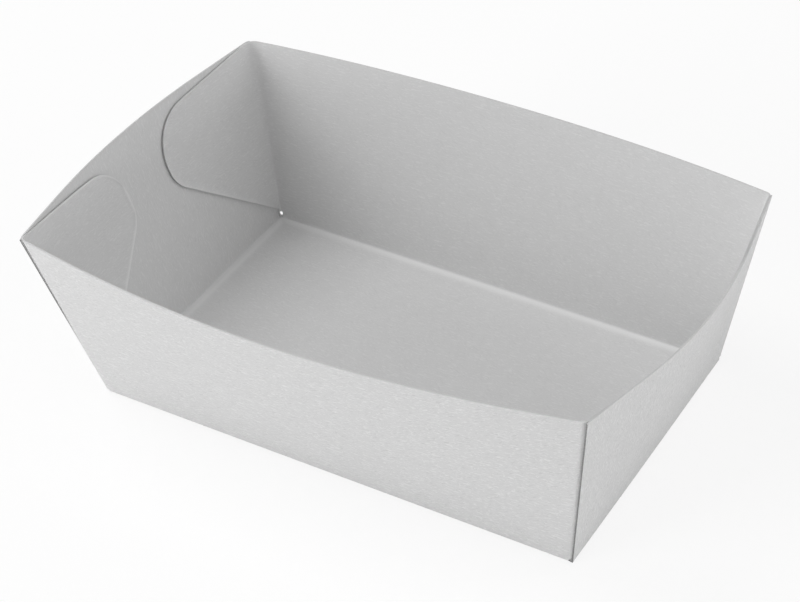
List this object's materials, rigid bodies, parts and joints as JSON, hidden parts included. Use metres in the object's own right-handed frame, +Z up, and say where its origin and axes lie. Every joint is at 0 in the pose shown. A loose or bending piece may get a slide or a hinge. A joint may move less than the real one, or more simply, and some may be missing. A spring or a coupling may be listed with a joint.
{
  "type": "folded paper food tray",
  "caption": "Open takeaway tray folded from one piece of paper board, with flared bellied walls and glued corner flaps inside the end walls.",
  "frame": {"origin": "middle of the base's underside, on the table", "axes": "+X along the long walls, +Y across the tray, +Z up out of its mouth"},
  "size_m": [0.1738, 0.1156, 0.0536],
  "materials": {
    "board": "matt uncoated board with fine fibres"
  },
  "bodies": {
    "root": {"folded_tray": "board"}
  },
  "joints": []
}
